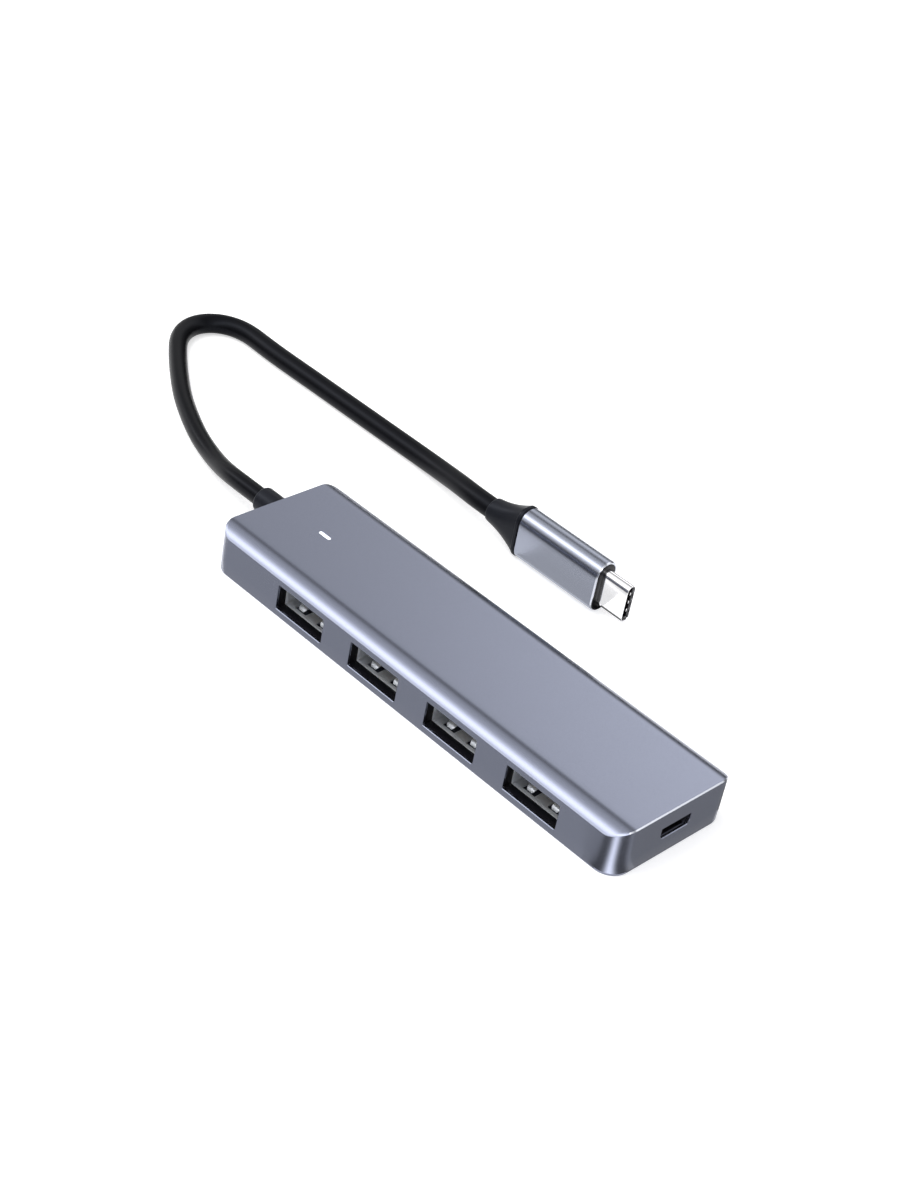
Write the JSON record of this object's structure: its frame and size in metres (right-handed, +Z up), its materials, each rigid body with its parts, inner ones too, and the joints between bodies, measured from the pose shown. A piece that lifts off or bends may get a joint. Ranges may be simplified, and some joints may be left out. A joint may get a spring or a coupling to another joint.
{
  "type": "usb hub",
  "caption": "Slim aluminium bar hub with a row of USB-A sockets along one side, a power inlet at one end, and a captive cord to a USB-C plug.",
  "frame": {"origin": "middle of the case's footprint, on the surface it rests on", "axes": "+X along the case towards the power inlet, -Y towards the four sockets, +Z up out of the flat top"},
  "size_m": [0.1783, 0.0626, 0.0115],
  "materials": {
    "case_metal": "bead-blasted and anodised blue-grey, satin",
    "black_plastic": "fine moulded texture",
    "black_rubber": "satin, soft moulded",
    "socket_steel": "nickel-plated sheet",
    "plug_steel": "bright drawn sheet",
    "contact_gold": "gold plating",
    "board_green": "solder mask",
    "chip_black": "moulded package",
    "ceramic": "fired ceramic with bright ends",
    "light_plastic": "clear white diffuser",
    "wire_red": "insulation"
  },
  "bodies": {
    "root": {"upper_shell": "case_metal", "bottom_cover": "case_metal", "inner_frame": "black_plastic", "light_pipe": "light_plastic", "circuit_board": "board_green", "hub_controller": "chip_black", "power_regulator": "chip_black", "port_switches": "chip_black", "crystal": "socket_steel", "capacitors": "ceramic", "resistors": "chip_black", "inductor": "chip_black", "status_led": "light_plastic", "usb_a_shell_1": "socket_steel", "usb_a_shell_2": "socket_steel", "usb_a_shell_3": "socket_steel", "usb_a_shell_4": "socket_steel", "usb_a_insulator_1": "black_plastic", "usb_a_insulator_2": "black_plastic", "usb_a_insulator_3": "black_plastic", "usb_a_insulator_4": "black_plastic", "usb_a_contacts_1": "contact_gold", "usb_a_contacts_2": "contact_gold", "usb_a_contacts_3": "contact_gold", "usb_a_contacts_4": "contact_gold", "power_socket_shell": "socket_steel", "power_socket_insulator": "black_plastic", "power_socket_contacts": "contact_gold", "cable_boot": "black_rubber", "cable_ferrule": "socket_steel", "cable_wires": "wire_red", "cord": "black_rubber", "plug_strain_relief": "black_rubber", "plug_sleeve": "case_metal", "plug_core": "black_plastic", "plug_tip_shell": "plug_steel", "plug_insulator": "black_plastic", "plug_contacts": "contact_gold", "plug_latches": "plug_steel", "plug_ground_springs": "plug_steel", "plug_board": "board_green", "plug_wires": "wire_red"}
  },
  "joints": []
}
